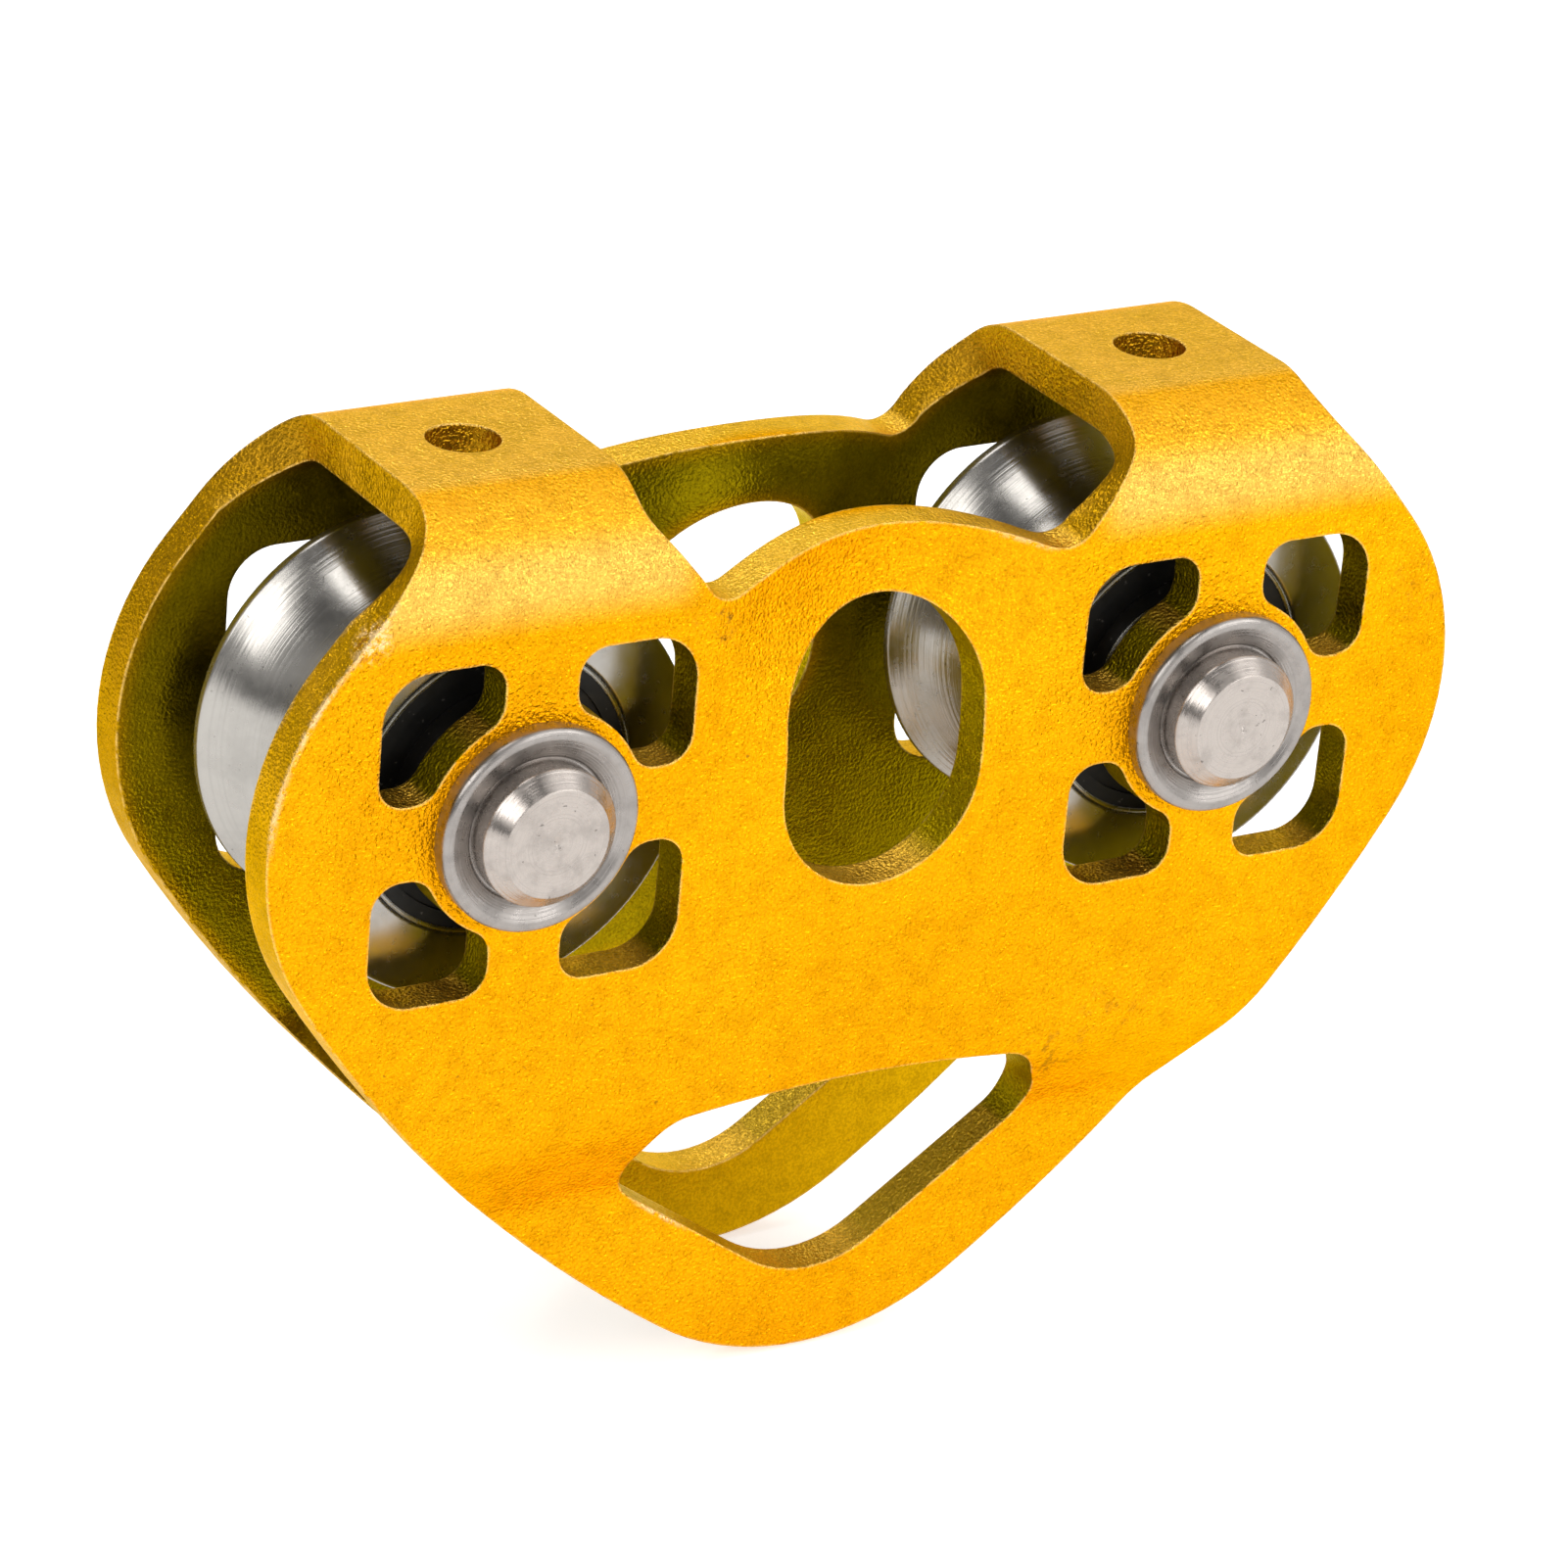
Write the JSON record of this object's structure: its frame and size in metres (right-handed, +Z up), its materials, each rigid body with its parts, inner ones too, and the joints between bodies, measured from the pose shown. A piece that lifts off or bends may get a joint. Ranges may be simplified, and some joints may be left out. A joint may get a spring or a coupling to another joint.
{
  "type": "rope pulley",
  "caption": "Tandem rope pulley: grooved sheaves in line on sealed ball bearings inside one folded sheet body, with a connector eye, strap bridges and a wide lower slot.",
  "frame": {"origin": "centre of the oval connector eye, midway between the side plates", "axes": "+X along the rope's run, +Y along the axles, +Z up towards the strap bridges"},
  "size_m": [0.1272, 0.0442, 0.0941],
  "materials": {
    "gold_sheet": "satin anodised gold",
    "axle_steel": "turned and lightly worn",
    "sheave_metal": "turned, satin",
    "bearing_steel": "ground",
    "seal_rubber": "matt black",
    "cage_nylon": "moulded nylon"
  },
  "bodies": {
    "frame": {"folded_body": "gold_sheet", "left_axle": "axle_steel", "left_distance_sleeve": "axle_steel", "left_front_washer": "axle_steel", "left_front_spacer": "axle_steel", "left_front_inner_race": "bearing_steel", "left_back_washer": "axle_steel", "left_back_spacer": "axle_steel", "left_back_inner_race": "bearing_steel", "right_axle": "axle_steel", "right_distance_sleeve": "axle_steel", "right_front_washer": "axle_steel", "right_front_spacer": "axle_steel", "right_front_inner_race": "bearing_steel", "right_back_washer": "axle_steel", "right_back_spacer": "axle_steel", "right_back_inner_race": "bearing_steel"},
    "left_front_ball_set": {"left_front_balls": "bearing_steel", "left_front_cage": "cage_nylon"},
    "left_back_ball_set": {"left_back_balls": "bearing_steel", "left_back_cage": "cage_nylon"},
    "left_wheel": {"left_sheave": "sheave_metal", "left_front_outer_race": "bearing_steel", "left_front_outer_seal": "seal_rubber", "left_front_inner_seal": "seal_rubber", "left_back_outer_race": "bearing_steel", "left_back_outer_seal": "seal_rubber", "left_back_inner_seal": "seal_rubber"},
    "right_front_ball_set": {"right_front_balls": "bearing_steel", "right_front_cage": "cage_nylon"},
    "right_back_ball_set": {"right_back_balls": "bearing_steel", "right_back_cage": "cage_nylon"},
    "right_wheel": {"right_sheave": "sheave_metal", "right_front_outer_race": "bearing_steel", "right_front_outer_seal": "seal_rubber", "right_front_inner_seal": "seal_rubber", "right_back_outer_race": "bearing_steel", "right_back_outer_seal": "seal_rubber", "right_back_inner_seal": "seal_rubber"}
  },
  "joints": [
    {"name": "left_sheave_spin", "type": "hinge", "parent": "frame", "child": "left_wheel", "pos_m": [-0.037, 0, -0.0018], "axis": [0, 1, 0], "continuous": true},
    {"name": "left_front_balls_spin", "type": "hinge", "parent": "frame", "child": "left_front_ball_set", "pos_m": [-0.037, 0, -0.0018], "axis": [0, 1, 0], "continuous": true},
    {"name": "left_back_balls_spin", "type": "hinge", "parent": "frame", "child": "left_back_ball_set", "pos_m": [-0.037, 0, -0.0018], "axis": [0, 1, 0], "continuous": true},
    {"name": "right_sheave_spin", "type": "hinge", "parent": "frame", "child": "right_wheel", "pos_m": [0.037, 0, -0.0018], "axis": [0, 1, 0], "continuous": true},
    {"name": "right_front_balls_spin", "type": "hinge", "parent": "frame", "child": "right_front_ball_set", "pos_m": [0.037, 0, -0.0018], "axis": [0, 1, 0], "continuous": true},
    {"name": "right_back_balls_spin", "type": "hinge", "parent": "frame", "child": "right_back_ball_set", "pos_m": [0.037, 0, -0.0018], "axis": [0, 1, 0], "continuous": true}
  ],
  "couplings": [
    {"joint": "left_front_balls_spin", "follows": "left_sheave_spin", "ratio": 0.61905},
    {"joint": "left_back_balls_spin", "follows": "left_sheave_spin", "ratio": 0.61905},
    {"joint": "right_front_balls_spin", "follows": "right_sheave_spin", "ratio": 0.61905},
    {"joint": "right_back_balls_spin", "follows": "right_sheave_spin", "ratio": 0.61905}
  ]
}
